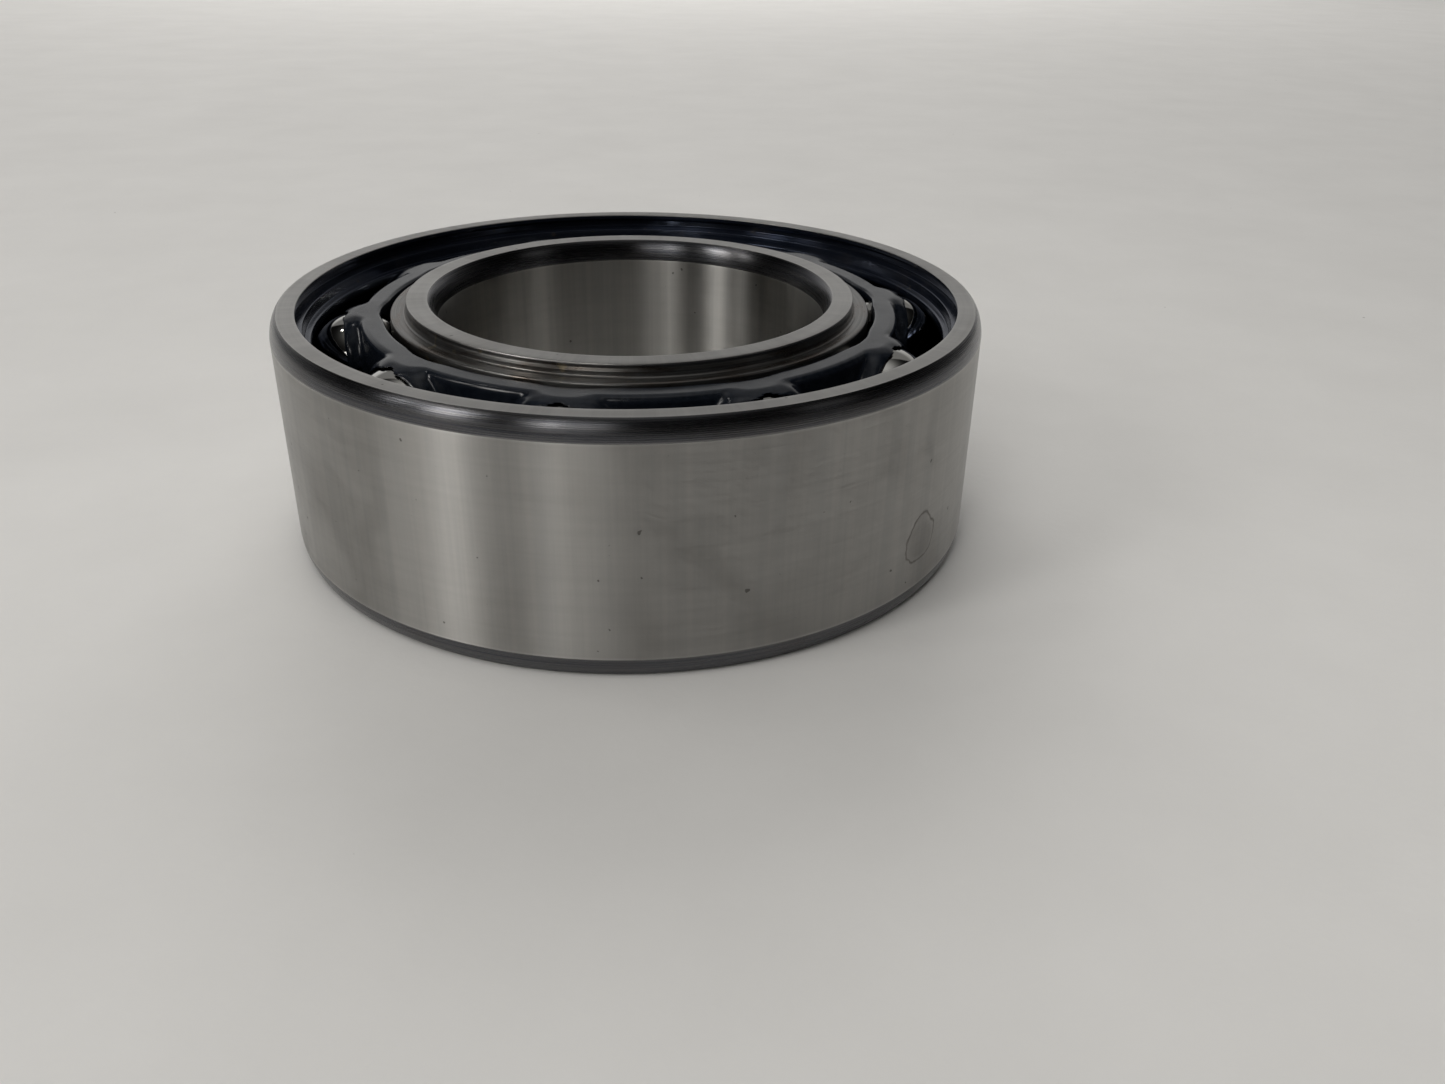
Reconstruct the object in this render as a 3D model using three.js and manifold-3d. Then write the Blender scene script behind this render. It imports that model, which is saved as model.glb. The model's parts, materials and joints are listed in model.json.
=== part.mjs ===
// Open double-row angular contact ball bearing, 50 x 90 x 30.2 mm, as a scene graph.
// Millimetres, +Z along the bearing axis, origin at the bearing's centre.
// Each ring, cage and ball is its own closed mesh. The two ball rows mirror each other
// about the plane z = 0, and the lower row is turned a little against the upper one.
import * as THREE from "three";
import { mergeVertices } from "three/addons/utils/BufferGeometryUtils.js";
import Module from "manifold-3d";

const wasm = await Module();
wasm.setup();

// ---- driving dimensions ----
const BORE = 50;
const OUTSIDE = 90;
const WIDTH = 30.2;
const BALL_DIAMETER = 12.7;
const BALLS_PER_ROW = 10;
const CONTACT_ANGLE = THREE.MathUtils.degToRad(30);
const ROW_OFFSET = 6.65; // from the middle plane to a row's ball centres
const UPPER_ROW_START = 5.4; // azimuth of the upper row's first ball, in degrees
const LOWER_ROW_START = 19.4; // the same for the lower row

// ---- worked out from them ----
const HALF_WIDTH = WIDTH / 2;
const BORE_RADIUS = BORE / 2;
const OUTSIDE_RADIUS = OUTSIDE / 2;
const PITCH_RADIUS = (BORE_RADIUS + OUTSIDE_RADIUS) / 2;
const BALL_RADIUS = BALL_DIAMETER / 2;
const BALL_PITCH = 360 / BALLS_PER_ROW;

// ---- raceways: arcs a little larger than the ball, clear of it along the contact line ----
const RACE_CONFORMITY = 0.52; // a raceway's radius over the ball's diameter
const RACE_RADIUS = RACE_CONFORMITY * BALL_DIAMETER;
const RACE_CLEARANCE = 0.18;
const RACE_SHIFT = RACE_RADIUS - BALL_RADIUS - RACE_CLEARANCE;
const RACE_STEPS = 5;
const RING_SEGMENTS = 60;

// ---- ring lands and recesses, as radii and depths below the side faces ----
const CORNER_RADIAL = 0.95; // the long turned corner of the outer ring
const CORNER_AXIAL = 2.5;
const CORNER_STEPS = 2;
const BORE_CORNER_RADIAL = 1.0; // the same at the bore
const BORE_CORNER_AXIAL = 2.8;
const SEAL_LIP_RADIUS = 41.8; // inner edge of the outer ring's side face
const SEAL_GROOVE_RADIUS = 42.6;
const SEAL_GROOVE_TOP = 1.0;
const SEAL_GROOVE_BOTTOM = 1.7;
const LEDGE_RADIUS = 40.3; // the outer ring's low shoulder
const LEDGE_DEPTH = 3.3;
const OUTER_RIB_RADIUS = 39.3; // the outer ring's high shoulder, between the rows
const FACE_RADIUS = 28.6; // outer edge of the inner ring's side face
const STEP_DEPTH = 1.5; // from that face down to the inner ring's high shoulder
const SHOULDER_RADIUS = 30.7;
const SHOULDER_ROUNDING = 0.3;
const INNER_RIB_RADIUS = 29.6; // the inner ring's low land, between the rows

// ---- cage: a snap ring on the outward side of each row, with a pocket for each ball ----
const CAGE_DEPTH = 1.6; // from the side face down to the cage's top
const CAGE_TOP = HALF_WIDTH - CAGE_DEPTH;
const CAGE_BOTTOM = 4.6;
const POCKET_CLEARANCE = 0.25;
const POCKET_RADIUS = BALL_RADIUS + POCKET_CLEARANCE;
const SIDE_INNER_RADIUS = 31.6; // the cage's flat sides, between the balls
const SIDE_OUTER_RADIUS = 34.5;
const CUP_INNER_RADIUS = 32.6; // its corners, which cup the balls
const CUP_OUTER_RADIUS = 36.6;
const CUP_HALF_ANGLE = 3.5; // degrees at full radius on either side of a ball
const SIDE_HALF_ANGLE = 10; // degrees that a flat side spans on either side of its middle

// ---- how finely the round surfaces are cut, as facets around and from pole to pole ----
const POCKET_FACETS = [16, 12];
const BALL_FACETS = [12, 8];

const radians = THREE.MathUtils.degToRad;

function steel(colour, roughness) {
  return new THREE.MeshStandardMaterial({ color: colour, roughness, metalness: 1 });
}

const ringSteel = steel("#a9a8a3", 0.3);
const ballSteel = steel("#d6d6d2", 0.08);
const cagePlastic = new THREE.MeshStandardMaterial({
  color: "#0d1116",
  roughness: 0.25,
  metalness: 0,
});

// A three.js geometry as a manifold-3d solid, from its positions alone.
function solidOf(geometry) {
  const bare = new THREE.BufferGeometry();
  bare.setAttribute("position", geometry.getAttribute("position").clone());
  bare.setIndex(geometry.getIndex());
  const merged = mergeVertices(bare, 1e-4);
  return new wasm.Manifold(
    new wasm.Mesh({
      numProp: 3,
      vertProperties: merged.getAttribute("position").array,
      triVerts: new Uint32Array(merged.getIndex().array),
    }),
  );
}

// The same solid as a three.js geometry again.
function geometryOf(solid) {
  const mesh = solid.getMesh();
  const geometry = new THREE.BufferGeometry();
  const positions = new THREE.BufferAttribute(new Float32Array(mesh.vertProperties), 3);
  geometry.setAttribute("position", positions);
  geometry.setIndex(new THREE.BufferAttribute(new Uint32Array(mesh.triVerts), 1));
  geometry.computeVertexNormals();
  return geometry;
}

// Points on an ellipse's arc, as [radius, height], from one angle to another in radians.
function arc(centre, radial, axial, from, to, steps) {
  const points = [];
  for (let i = 0; i <= steps; i++) {
    const angle = from + ((to - from) * i) / steps;
    points.push([
      centre[0] + radial * Math.cos(angle),
      centre[1] + axial * Math.sin(angle),
    ]);
  }
  return points;
}

// A raceway's arc in the upper row, from one land's radius to the other's.
// outward is +1 for the outer ring's raceway and -1 for the inner ring's.
function raceway(outward, highLandRadius, lowLandRadius) {
  const centre = [
    PITCH_RADIUS - outward * RACE_SHIFT * Math.cos(CONTACT_ANGLE),
    ROW_OFFSET + outward * RACE_SHIFT * Math.sin(CONTACT_ANGLE),
  ];
  const angleAt = (radius) => Math.acos((radius - centre[0]) / RACE_RADIUS);
  // The outer ring's high land lies towards the middle plane, the inner ring's away from it.
  const from = outward > 0 ? -angleAt(highLandRadius) : -angleAt(lowLandRadius);
  const to = outward > 0 ? angleAt(lowLandRadius) : angleAt(highLandRadius);
  const start = outward > 0 ? from : from + 2 * Math.PI;
  return arc(centre, RACE_RADIUS, RACE_RADIUS, start, to, RACE_STEPS);
}

// A ring from the upper half of its section, which runs outwards from its inner side at
// the middle plane, over the top face, to its outer side at the middle plane.
function ring(upperHalf) {
  const lowerHalf = upperHalf.map(([radius, height]) => [radius, -height]).reverse();
  const section = [...upperHalf, ...lowerHalf].reverse();
  section.push(section[0]);
  const points = section.map(([radius, height]) => new THREE.Vector2(radius, height));
  const geometry = new THREE.LatheGeometry(points, RING_SEGMENTS);
  geometry.rotateX(Math.PI / 2); // the lathe's axis from +Y to +Z
  return geometry;
}

function outerRing() {
  const corner = arc(
    [OUTSIDE_RADIUS - CORNER_RADIAL, HALF_WIDTH - CORNER_AXIAL],
    CORNER_RADIAL,
    CORNER_AXIAL,
    Math.PI / 2,
    0,
    CORNER_STEPS,
  );
  return ring([
    ...raceway(1, OUTER_RIB_RADIUS, LEDGE_RADIUS),
    [LEDGE_RADIUS, HALF_WIDTH - LEDGE_DEPTH],
    [SEAL_GROOVE_RADIUS, HALF_WIDTH - SEAL_GROOVE_BOTTOM],
    [SEAL_GROOVE_RADIUS, HALF_WIDTH - SEAL_GROOVE_TOP],
    [SEAL_LIP_RADIUS, HALF_WIDTH - SEAL_GROOVE_TOP / 2],
    [SEAL_LIP_RADIUS, HALF_WIDTH],
    ...corner,
  ]);
}

function innerRing() {
  const corner = arc(
    [BORE_RADIUS + BORE_CORNER_RADIAL, HALF_WIDTH - BORE_CORNER_AXIAL],
    BORE_CORNER_RADIAL,
    BORE_CORNER_AXIAL,
    Math.PI,
    Math.PI / 2,
    CORNER_STEPS,
  );
  return ring([
    ...corner,
    [FACE_RADIUS, HALF_WIDTH],
    [FACE_RADIUS, HALF_WIDTH - STEP_DEPTH],
    [SHOULDER_RADIUS - SHOULDER_ROUNDING, HALF_WIDTH - STEP_DEPTH],
    [SHOULDER_RADIUS, HALF_WIDTH - STEP_DEPTH - SHOULDER_ROUNDING],
    ...raceway(-1, SHOULDER_RADIUS, INNER_RIB_RADIUS).reverse(),
  ]);
}

// A closed loop round the axis that is wide at the balls and narrow between them.
function cageLoop(path, sideRadius, cupRadius) {
  const offsets = [-CUP_HALF_ANGLE, 0, CUP_HALF_ANGLE, BALL_PITCH / 2 - SIDE_HALF_ANGLE];
  offsets.push(BALL_PITCH / 2, BALL_PITCH / 2 + SIDE_HALF_ANGLE);
  const points = [];
  for (let ball = 0; ball < BALLS_PER_ROW; ball++) {
    for (const offset of offsets) {
      const radius = Math.abs(offset) <= CUP_HALF_ANGLE ? cupRadius : sideRadius;
      const azimuth = radians(ball * BALL_PITCH + offset);
      points.push(new THREE.Vector2(radius * Math.cos(azimuth), radius * Math.sin(azimuth)));
    }
  }
  return path.setFromPoints(points);
}

// The upper row's cage, with its first pocket at azimuth 0 and opening downwards.
function cage() {
  const outline = cageLoop(new THREE.Shape(), SIDE_OUTER_RADIUS, CUP_OUTER_RADIUS);
  outline.holes.push(cageLoop(new THREE.Path(), SIDE_INNER_RADIUS, CUP_INNER_RADIUS));
  const body = new THREE.ExtrudeGeometry(outline, {
    depth: CAGE_TOP - CAGE_BOTTOM,
    bevelEnabled: false,
  });
  body.translate(0, 0, CAGE_BOTTOM);
  let solid = solidOf(body);
  for (let ball = 0; ball < BALLS_PER_ROW; ball++) {
    const azimuth = radians(ball * BALL_PITCH);
    const pocket = new THREE.SphereGeometry(POCKET_RADIUS, ...POCKET_FACETS);
    pocket.rotateX(Math.PI / 2);
    pocket.translate(PITCH_RADIUS, 0, ROW_OFFSET);
    pocket.rotateZ(azimuth);
    solid = solid.subtract(solidOf(pocket));
  }
  return geometryOf(solid);
}

function addMesh(parent, name, geometry, material) {
  const mesh = new THREE.Mesh(geometry, material);
  mesh.name = name;
  parent.add(mesh);
  return mesh;
}

// One row of balls with its cage. The row is built as the upper one.
function row(side, cageGeometry, ballGeometry) {
  const group = new THREE.Group();
  addMesh(group, `cage_${side}`, cageGeometry, cagePlastic);
  for (let i = 0; i < BALLS_PER_ROW; i++) {
    const azimuth = radians(i * BALL_PITCH);
    const number = String(i + 1).padStart(2, "0");
    const ball = addMesh(group, `ball_${side}_${number}`, ballGeometry, ballSteel);
    ball.position.set(
      PITCH_RADIUS * Math.cos(azimuth),
      PITCH_RADIUS * Math.sin(azimuth),
      ROW_OFFSET,
    );
    ball.rotation.z = azimuth;
  }
  return group;
}

const bearing = new THREE.Group();
addMesh(bearing, "outer_ring", outerRing(), ringSteel);
addMesh(bearing, "inner_ring", innerRing(), ringSteel);

const cageGeometry = cage();
const ballGeometry = new THREE.SphereGeometry(BALL_RADIUS, ...BALL_FACETS);
ballGeometry.rotateX(Math.PI / 2);

const upperRow = row("upper", cageGeometry, ballGeometry);
upperRow.rotation.z = radians(UPPER_ROW_START);
bearing.add(upperRow);

// Turned over about the X axis, so that its first ball stays at the stated azimuth.
const lowerRow = row("lower", cageGeometry, ballGeometry);
lowerRow.rotation.set(Math.PI, 0, -radians(LOWER_ROW_START), "XYZ");
bearing.add(lowerRow);

export default bearing;
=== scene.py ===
"""An open double-row angular contact ball bearing on a pale table.

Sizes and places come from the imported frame. Each ring is a finely turned section, each cage is
the level surface of a distance formula, and each ball is an evenly divided sphere. Every finish
is made of shader nodes. Lengths in the formulas are millimetres, and meshes are in metres.
The origin is the bearing's centre and +Z is its axis. Azimuth 0 is +X and 90 is +Y.
"""
import json
import math

import bmesh
import bpy
import numpy as np
from mathutils import Matrix, Vector

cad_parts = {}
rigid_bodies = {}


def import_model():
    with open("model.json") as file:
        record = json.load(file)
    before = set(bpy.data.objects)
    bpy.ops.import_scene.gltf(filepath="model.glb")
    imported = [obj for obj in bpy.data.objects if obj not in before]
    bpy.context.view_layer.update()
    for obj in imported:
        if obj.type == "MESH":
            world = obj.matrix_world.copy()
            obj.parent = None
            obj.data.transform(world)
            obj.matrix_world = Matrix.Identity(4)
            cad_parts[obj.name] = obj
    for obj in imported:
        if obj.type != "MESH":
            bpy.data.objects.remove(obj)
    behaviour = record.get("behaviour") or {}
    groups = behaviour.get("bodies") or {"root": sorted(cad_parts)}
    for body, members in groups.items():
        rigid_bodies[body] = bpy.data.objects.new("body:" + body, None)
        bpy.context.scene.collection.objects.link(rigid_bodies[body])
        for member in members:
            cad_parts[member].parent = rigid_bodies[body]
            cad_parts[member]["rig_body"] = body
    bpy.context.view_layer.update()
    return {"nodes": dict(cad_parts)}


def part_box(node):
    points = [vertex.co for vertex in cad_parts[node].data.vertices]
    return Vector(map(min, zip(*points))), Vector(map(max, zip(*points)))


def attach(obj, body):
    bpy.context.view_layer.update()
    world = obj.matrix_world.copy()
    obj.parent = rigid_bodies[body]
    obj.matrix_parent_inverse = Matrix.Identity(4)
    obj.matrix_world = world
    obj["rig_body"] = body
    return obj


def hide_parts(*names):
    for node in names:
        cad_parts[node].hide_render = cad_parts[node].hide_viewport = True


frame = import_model()

MM = 0.001


# ---- sizes from the frame, in millimetres ----

def radii(node):
    """The smallest and largest distance from the axis among a CAD node's corners."""
    points = np.array([vertex.co for vertex in frame["nodes"][node].data.vertices])
    distances = np.hypot(points[:, 0], points[:, 1]) / MM
    return float(distances.min()), float(distances.max())


def heights(node):
    low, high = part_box(node)
    return low.z / MM, high.z / MM


def centre(node):
    low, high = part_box(node)
    return (low + high) / 2


ROWS = ("upper", "lower")
BALLS = {
    row: sorted(name for name in frame["nodes"] if name.startswith(f"ball_{row}_"))
    for row in ROWS
}
FIRST_BALL = centre(BALLS["upper"][0])
BALL_RADIUS = (heights(BALLS["upper"][0])[1] - heights(BALLS["upper"][0])[0]) / 2
PITCH_RADIUS = math.hypot(FIRST_BALL.x, FIRST_BALL.y) / MM
ROW_OFFSET = FIRST_BALL.z / MM
BALL_COUNT = len(BALLS["upper"])
BALL_PITCH = 360 / BALL_COUNT

HALF_WIDTH = heights("outer_ring")[1]
OUTER_RIB_RADIUS, OUTSIDE_RADIUS = radii("outer_ring")
BORE_RADIUS, SHOULDER_RADIUS = radii("inner_ring")
CAGE_BOTTOM, CAGE_TOP = heights("cage_upper")
CAGE_INNER_RADIUS, CAGE_OUTER_RADIUS = radii("cage_upper")

# ---- the rings' sections: radii, and depths below the side faces ----
CONTACT_ANGLE = 30.0
RACE_RADIUS = 0.52 * 2 * BALL_RADIUS
RACE_CLEARANCE = 0.18
RACE_SHIFT = RACE_RADIUS - BALL_RADIUS - RACE_CLEARANCE
CORNER_RADIAL, CORNER_AXIAL = 1.03, 2.5
CORNER_ANGLES = (73, 12)  # from the side face to the outside
BORE_CORNER_RADIAL, BORE_CORNER_AXIAL = 1.0, 2.8
BORE_CORNER_ANGLES = (170, 110)  # from the bore to the side face
SEAL_LIP_RADIUS = OUTSIDE_RADIUS - 3.2
SEAL_GROOVE_RADIUS = OUTSIDE_RADIUS - 2.4
LEDGE_RADIUS = OUTSIDE_RADIUS - 4.7
FACE_RADIUS = BORE_RADIUS + 3.6
STEP_DEPTH = 1.5
INNER_RIB_RADIUS = BORE_RADIUS + 4.6

RING_SEGMENTS = 320
RACE_STEPS = 26
LONGEST_STEP = 0.7
SHARP_ANGLE = 35.0  # degrees between faces from which an edge isn't smoothed


# ---- section lines ----

def arc(middle, radial, axial, start, end, steps):
    """Points on an ellipse's arc. Angles are degrees, from outwards towards upwards."""
    angles = np.radians(np.linspace(start, end, steps + 1))
    return [(middle[0] + radial * math.cos(a), middle[1] + axial * math.sin(a)) for a in angles]


def cut_arc(start, end, start_angle, end_angle, steps=14):
    """The stretch of an ellipse between two angles that runs from start to end. The ellipse's
    own ends lie beyond the ground surfaces, which leaves an edge at each end of the stretch."""
    a, b = math.radians(start_angle), math.radians(end_angle)
    radial = (end[0] - start[0]) / (math.cos(b) - math.cos(a))
    axial = (end[1] - start[1]) / (math.sin(b) - math.sin(a))
    middle = (start[0] - radial * math.cos(a), start[1] - axial * math.sin(a))
    return arc(middle, radial, axial, start_angle, end_angle, steps)


def raceway(outward, from_radius, to_radius):
    """The upper row's raceway, going up. outward is 1 for the outer ring and -1 for the inner."""
    tilt = math.radians(CONTACT_ANGLE)
    middle = (
        PITCH_RADIUS - outward * RACE_SHIFT * math.cos(tilt),
        ROW_OFFSET + outward * RACE_SHIFT * math.sin(tilt),
    )

    def angle(radius):
        return math.degrees(math.acos((radius - middle[0]) / RACE_RADIUS))

    start = -angle(from_radius) if outward > 0 else 360 - angle(from_radius)
    return arc(middle, RACE_RADIUS, RACE_RADIUS, start, angle(to_radius), RACE_STEPS)


def rounded(line, steps=5):
    """A line with its corners rounded. A point's third number is its rounding's radius."""
    result = [line[0][:2]]
    for before, corner, after in zip(line, line[1:], line[2:]):
        if len(corner) < 3:
            result.append(corner)
            continue
        point = np.array(corner[:2])
        back = np.array(before[:2]) - point
        ahead = np.array(after[:2]) - point
        # A little under half, so that the roundings at a segment's two ends stay apart.
        room = 0.48 * min(np.linalg.norm(back), np.linalg.norm(ahead))
        back = back / np.linalg.norm(back)
        ahead = ahead / np.linalg.norm(ahead)
        half_turn = math.acos(np.clip(back @ ahead, -1, 1)) / 2
        reach = min(corner[2] / math.tan(half_turn), room)
        start, end = point + back * reach, point + ahead * reach
        for t in np.linspace(0, 1, steps + 1):
            # A quadratic curve through the corner's control point is close to the tangent arc.
            curve = (1 - t) ** 2 * start + 2 * t * (1 - t) * point + t**2 * end
            result.append(tuple(curve))
    result.append(line[-1][:2])
    return result


def divided(line):
    """The same line with no step longer than LONGEST_STEP."""
    result = [line[0]]
    for start, end in zip(line, line[1:]):
        count = max(1, math.ceil(math.dist(start, end) / LONGEST_STEP))
        for i in range(1, count + 1):
            result.append(tuple(np.array(start) + (np.array(end) - start) * i / count))
    return result


def outer_ring_section():
    """The upper half, from the rib at the middle plane over the side face to the outside.
    A point is a radius, a height and, at a corner, the corner's rounding."""
    top = HALF_WIDTH
    race = raceway(1, OUTER_RIB_RADIUS, LEDGE_RADIUS)
    corner = cut_arc(
        (OUTSIDE_RADIUS - CORNER_RADIAL, top),
        (OUTSIDE_RADIUS, top - CORNER_AXIAL),
        *CORNER_ANGLES,
    )
    return [
        ("race", rounded([(OUTER_RIB_RADIUS, 0), (*race[0], 0.25), *race[1:]])),
        ("recess", rounded([
            race[-1],
            (LEDGE_RADIUS, top - 3.55, 0.3),
            (LEDGE_RADIUS + 0.75, top - 3.4, 0.15),
            (LEDGE_RADIUS + 0.9, top - 2.1, 0.12),
            (SEAL_GROOVE_RADIUS, top - 1.8, 0.15),
            (SEAL_GROOVE_RADIUS, top - 1.05, 0.12),
            (SEAL_LIP_RADIUS, top - 0.55, 0.08),
            (SEAL_LIP_RADIUS, top - 0.12),
        ])),
        ("side", rounded([
            (SEAL_LIP_RADIUS, top - 0.12),
            (SEAL_LIP_RADIUS, top, 0.1),
            corner[0],
        ], steps=3)),
        ("corner", corner),
        ("ground", [corner[-1], (OUTSIDE_RADIUS, 0)]),
    ]


def inner_ring_section():
    """The upper half, from the bore at the middle plane over the side face to the low land."""
    top = HALF_WIDTH
    foot = top - STEP_DEPTH
    race = raceway(-1, INNER_RIB_RADIUS, SHOULDER_RADIUS)[::-1]
    corner = cut_arc(
        (BORE_RADIUS, top - BORE_CORNER_AXIAL),
        (BORE_RADIUS + BORE_CORNER_RADIAL, top),
        *BORE_CORNER_ANGLES,
    )
    return [
        ("ground", [(BORE_RADIUS, 0), corner[0]]),
        ("corner", corner),
        ("side", rounded([
            corner[-1],
            (FACE_RADIUS, top, 0.12),
            (FACE_RADIUS + 0.02, top - 0.2),
        ], steps=3)),
        ("shoulder", rounded([
            (FACE_RADIUS + 0.02, top - 0.2),
            (FACE_RADIUS + 0.02, top - 0.5, 0.2),
            (FACE_RADIUS + 0.16, foot + 0.62, 0.3),
            (FACE_RADIUS + 0.22, foot + 0.1, 0.3),
            (FACE_RADIUS + 0.45, foot - 0.04, 0.2),
            (FACE_RADIUS + 0.62, foot, 0.1),
            (SHOULDER_RADIUS, foot, 0.34),
            race[0],
        ])),
        ("race", rounded([*race[:-1], (*race[-1], 0.25), (INNER_RIB_RADIUS, 0)])),
    ]


def new_object(name, vertices, faces, materials, zones=None):
    """A smooth-shaded mesh object from millimetre vertices. zones has each face's material."""
    mesh = bpy.data.meshes.new(name)
    mesh.from_pydata((np.asarray(vertices) * MM).tolist(), [], np.asarray(faces).tolist())
    for material in materials:
        mesh.materials.append(material)
    if zones is not None:
        mesh.polygons.foreach_set("material_index", np.asarray(zones, np.int32))
    mesh.shade_smooth()
    piece = bpy.data.objects.new(name, mesh)
    bpy.context.scene.collection.objects.link(piece)
    return piece


def whole_section(upper_half, zone_names):
    """The closed section whose upper half is given, mirrored about the middle plane.

    Returns its points, each point's distance along the section, each point's distance to the
    nearer end of its own zone, and the number of the zone that follows each point.
    """
    points, path, edge, zones = [], [], [], []
    travelled = 0.0
    for index, (zone, line) in enumerate(upper_half):
        line = divided(line)
        lengths = np.cumsum([0.0] + [math.dist(a, b) for a, b in zip(line, line[1:])])
        # The middle plane isn't an edge, so the first and last zones have only one.
        first, last = index == 0, index == len(upper_half) - 1
        from_start = np.full_like(lengths, np.inf) if first else lengths
        from_end = np.full_like(lengths, np.inf) if last else lengths[-1] - lengths
        keep = slice(0 if first else 1, None)
        points += line[keep]
        path += list(travelled + lengths[keep])
        edge += list(np.minimum(from_start, from_end)[keep])
        zones += [zone_names.index(zone)] * (len(line) - 1)
        travelled += lengths[-1]
    # The lower half repeats the upper one backwards, without its two ends on the middle plane.
    points += [(radius, -height) for radius, height in points[-2:0:-1]]
    path += path[-2:0:-1]
    edge += edge[-2:0:-1]
    zones += zones[::-1]
    return points, path, edge, zones


def revolved(name, upper_half, materials):
    """A ring from the upper half of its section, with a material for each of its zones.

    Two values go with each vertex, in metres: section_path is the distance along the section,
    and zone_edge is the distance to the nearer end of the vertex's own zone.
    """
    points, path, edge, zones = whole_section(upper_half, list(materials))
    count = len(points)
    azimuths = 2 * math.pi * np.arange(RING_SEGMENTS) / RING_SEGMENTS
    radius, height = np.array(points).T
    vertices = np.stack([
        np.outer(np.cos(azimuths), radius),
        np.outer(np.sin(azimuths), radius),
        np.tile(height, (RING_SEGMENTS, 1)),
    ], axis=-1).reshape(-1, 3)
    here = np.arange(RING_SEGMENTS)[:, None] * count
    there = (here + count) % (count * RING_SEGMENTS)
    step = np.arange(count)
    ahead = (step + 1) % count
    faces = np.stack([here + step, here + ahead, there + ahead, there + step], axis=-1)
    piece = new_object(
        name, vertices, faces.reshape(-1, 4), list(materials.values()),
        np.tile(zones, RING_SEGMENTS),
    )
    for label, values in (("section_path", path), ("zone_edge", edge)):
        attribute = piece.data.attributes.new(label, "FLOAT", "POINT")
        metres = np.tile(np.array(values) * MM, RING_SEGMENTS)
        attribute.data.foreach_set("value", metres.astype(np.float32))
    piece.data.set_sharp_from_angle(angle=math.radians(SHARP_ANGLE))
    weighted = piece.modifiers.new("weighted_normals", "WEIGHTED_NORMAL")
    weighted.keep_sharp = True
    return piece


# ---- the cage, as a distance formula ----

def smooth_step(low, high, value):
    t = np.clip((value - low) / (high - low), 0, 1)
    return t * t * (3 - 2 * t)


def rounded_max(a, b, rounding):
    """The larger of two distances, which cuts one shape by the other with a rounded edge."""
    near = np.maximum(rounding - np.abs(a - b), 0) / rounding
    return np.maximum(a, b) + near * near * rounding / 4


def rounded_min(a, b, rounding):
    return -rounded_max(-a, -b, rounding)


WALL_RADIUS = CAGE_INNER_RADIUS + 2.85  # the plain wall between two cups
CUP_REACH = CAGE_INNER_RADIUS + 4.15  # a cup's outside, at the flat top
CUP_LEAN = 0.8  # millimetres by which it comes out for each millimetre down
CUP_RADIUS = CAGE_OUTER_RADIUS - 0.15  # and where that ends
TIP_LEAN = 1.3  # what the tip over each ball adds to the lean
TIP_REACH = 0.6  # and to the radius where it ends
TIP_ANGLES = (1.0, 5.0)  # degrees from the ball over which the tip fades
CUP_ANGLE = 6.3  # degrees from a ball to its cup's side, at the flat top
CUP_SPREAD = 1.25  # degrees by which the side spreads for each millimetre down
CUP_WIDEST = 10.9
CUP_CORNER_TOP, CUP_CORNER_LOW = 2.8, 0.8  # rounding of a cup's corners, and lower down
CUP_CORNER_DEPTH = 3.0
LEAN_ROUNDING = 0.4  # where the lean ends, in millimetres
SPREAD_ROUNDING = 2.0  # where the spread ends, in degrees
INNER_RADIUS = CAGE_INNER_RADIUS - 0.1
INNER_BULGE = 0.45  # the inner side stands back by this at each ball
BULGE_ANGLES = (1.5, 9.0)
POCKET_RADIUS = BALL_RADIUS + 0.2
RIM_ROUNDING = 0.9  # of the flat top and of the bottom
INNER_ROUNDING = 0.5
FILLET = 0.8  # between a cup and the wall
POCKET_ROUNDING = 0.3


def cup_distance(away, radius, depth):
    """Roughly the distance outside a cup. away is degrees from the ball's middle."""
    below = np.maximum(depth, 0)
    tip = 1 - smooth_step(*TIP_ANGLES, away)
    lean = CUP_LEAN + TIP_LEAN * tip
    reach = rounded_min(CUP_REACH + lean * below, CUP_RADIUS + TIP_REACH * tip, LEAN_ROUNDING)
    half_angle = rounded_min(CUP_ANGLE + CUP_SPREAD * below, CUP_WIDEST, SPREAD_ROUNDING)
    side = (away - half_angle) * math.radians(1) * radius
    down = smooth_step(0.0, CUP_CORNER_DEPTH, depth)
    corner = CUP_CORNER_TOP - (CUP_CORNER_TOP - CUP_CORNER_LOW) * down
    return rounded_max(radius - reach, side, corner)


def cage_distance(azimuth, radius, height):
    """Roughly the distance outside the upper cage, whose first ball is at azimuth 0 degrees."""
    offset = (azimuth + BALL_PITCH / 2) % BALL_PITCH - BALL_PITCH / 2
    away = np.abs(offset)
    depth = CAGE_TOP - height
    # The outline is a plain wall between the balls, and round each ball a cup that widens down.
    outline = rounded_min(radius - WALL_RADIUS, cup_distance(away, radius, depth), FILLET)
    outer = rounded_max(outline, -depth, RIM_ROUNDING)
    inner = INNER_RADIUS + INNER_BULGE * (1 - smooth_step(*BULGE_ANGLES, away)) - radius
    body = rounded_max(outer, inner, INNER_ROUNDING)
    body = rounded_max(body, CAGE_BOTTOM - height, RIM_ROUNDING)
    angle = np.radians(offset)
    across = radius * np.sin(angle)
    outward = radius * np.cos(angle) - PITCH_RADIUS
    pocket = POCKET_RADIUS - np.sqrt(across**2 + outward**2 + (height - ROW_OFFSET) ** 2)
    return rounded_max(body, pocket, POCKET_ROUNDING)


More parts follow.
